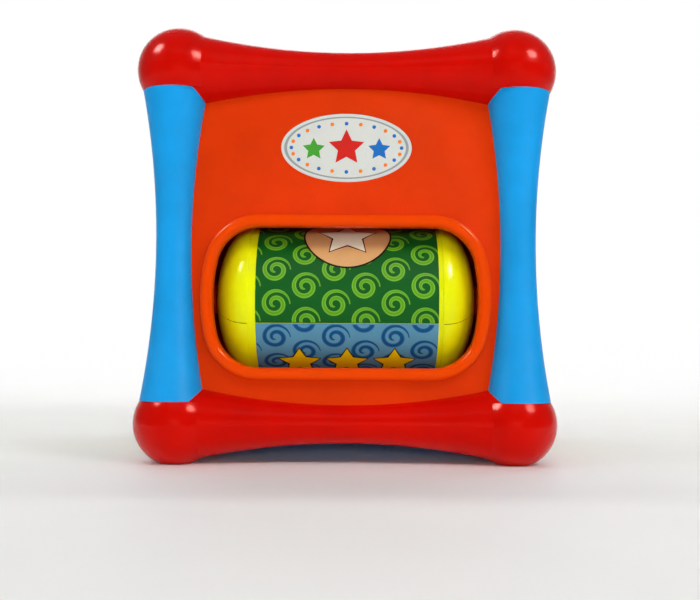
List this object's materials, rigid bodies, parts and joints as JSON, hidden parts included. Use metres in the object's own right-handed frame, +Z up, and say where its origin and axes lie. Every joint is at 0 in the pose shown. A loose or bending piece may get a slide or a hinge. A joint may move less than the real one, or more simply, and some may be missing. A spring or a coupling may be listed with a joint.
{
  "type": "activity cube",
  "caption": "Activity cube: red ball-cornered frame on waisted blue posts, with a spinning labelled drum in a rimmed window, meshing gears, mirror door, sliding beads and push button.",
  "frame": {"origin": "on the floor plane, under the centre of the cube", "axes": "+Z up; -Y points out of the front face with the drum, +X to the right seen from the front"},
  "size_m": [0.167, 0.1682, 0.1725],
  "materials": {
    "red_plastic": "glossy moulded ABS",
    "blue_plastic": "semi-gloss moulded ABS",
    "orange_plastic": "semi-gloss moulded ABS",
    "badge_print": "laminated printed sticker",
    "yellow_plastic": "glossy moulded ABS",
    "green_label": "laminated printed sticker",
    "blue_label": "laminated printed sticker",
    "zinc_steel": "zinc plated",
    "bead_plastic": "moulded",
    "gear_red_plastic": "glossy moulded ABS",
    "gear_blue_plastic": "glossy moulded ABS",
    "gear_green_plastic": "glossy moulded ABS",
    "white_plastic": "glossy moulded ABS",
    "green_plastic": "semi-gloss moulded ABS",
    "mirror_film": "metallised acrylic",
    "bezel_plastic": "glossy moulded ABS",
    "door_plastic": "glossy moulded ABS",
    "bellows_rubber": "soft matt",
    "reed_plastic": "moulded",
    "bottom_plastic": "lightly textured ABS"
  },
  "bodies": {
    "cube_frame": {"top_frame_upper": "red_plastic", "top_frame_lower": "red_plastic", "bottom_frame_upper": "red_plastic", "bottom_frame_lower": "red_plastic", "post_front_left": "blue_plastic", "post_front_right": "blue_plastic", "post_back_left": "blue_plastic", "post_back_right": "blue_plastic", "front_panel": "orange_plastic", "drum_housing": "orange_plastic", "back_panel": "orange_plastic", "badge_sticker": "badge_print", "right_panel": "yellow_plastic", "top_panel": "yellow_plastic", "drum_axle": "zinc_steel", "axle_clips": "zinc_steel", "frame_screws_top": "zinc_steel", "frame_screws_bottom": "zinc_steel", "housing_screws": "zinc_steel", "rack_screws": "zinc_steel", "button_screws": "zinc_steel", "hinge_pin": "zinc_steel", "gear_caps": "gear_blue_plastic", "gear_pins": "white_plastic", "bead_rods": "white_plastic", "button_cup": "white_plastic", "left_panel": "green_plastic", "mirror_disc": "mirror_film", "mirror_bezel": "bezel_plastic", "rack_ends": "bezel_plastic", "squeaker_bellows": "bellows_rubber", "squeaker_reed": "reed_plastic", "bottom_panel": "bottom_plastic"},
    "drum": {"drum_shell_upper": "yellow_plastic", "drum_shell_lower": "yellow_plastic", "drum_label_green": "green_label", "drum_label_blue": "blue_label", "rattle_beads": "bead_plastic"},
    "large_gear": {"gear_large": "gear_red_plastic"},
    "medium_gear": {"gear_medium": "gear_blue_plastic"},
    "small_gear": {"gear_small": "gear_green_plastic"},
    "mirror_door": {"door": "door_plastic", "door_knob": "bezel_plastic"},
    "ball_bead": {"bead_ball": "gear_red_plastic"},
    "barrel_bead": {"bead_barrel": "gear_blue_plastic"},
    "flower_bead": {"bead_flower": "gear_green_plastic"},
    "button": {"push_button": "gear_green_plastic"}
  },
  "joints": [
    {"name": "drum_spin", "type": "hinge", "parent": "cube_frame", "child": "drum", "pos_m": [0, -0.0425, 0.0652], "axis": [1, 0, 0], "continuous": true},
    {"name": "large_gear_spin", "type": "hinge", "parent": "cube_frame", "child": "large_gear", "pos_m": [0.073, -0.021, 0.1055], "axis": [1, 0, 0], "continuous": true},
    {"name": "medium_gear_spin", "type": "hinge", "parent": "cube_frame", "child": "medium_gear", "pos_m": [0.073, 0.02505, 0.08874], "axis": [1, 0, 0], "continuous": true},
    {"name": "small_gear_spin", "type": "hinge", "parent": "cube_frame", "child": "small_gear", "pos_m": [0.073, 0.00196, 0.05577], "axis": [1, 0, 0], "continuous": true},
    {"name": "door_hinge", "type": "hinge", "parent": "cube_frame", "child": "mirror_door", "pos_m": [-0.0727, -0.0345, 0.0885], "axis": [0, 0, 1], "range_deg": [0, 150]},
    {"name": "ball_bead_slide", "type": "slide", "parent": "cube_frame", "child": "ball_bead", "axis": [1, 0, 0], "range_m": [-0.0085, 0.0525]},
    {"name": "barrel_bead_slide", "type": "slide", "parent": "cube_frame", "child": "barrel_bead", "axis": [1, 0, 0], "range_m": [-0.048, 0.012]},
    {"name": "flower_bead_slide", "type": "slide", "parent": "cube_frame", "child": "flower_bead", "axis": [1, 0, 0], "range_m": [-0.0265, 0.0385]},
    {"name": "button_press", "type": "slide", "parent": "cube_frame", "child": "button", "axis": [0, 0, -1], "range_m": [0, 0.005], "stiffness_N_per_m": 400, "springref_m": -0.002, "deforming": ["squeaker_bellows"]}
  ],
  "couplings": [
    {"joint": "medium_gear_spin", "follows": "large_gear_spin", "ratio": -1.3333},
    {"joint": "small_gear_spin", "follows": "large_gear_spin", "ratio": 1.4545}
  ]
}
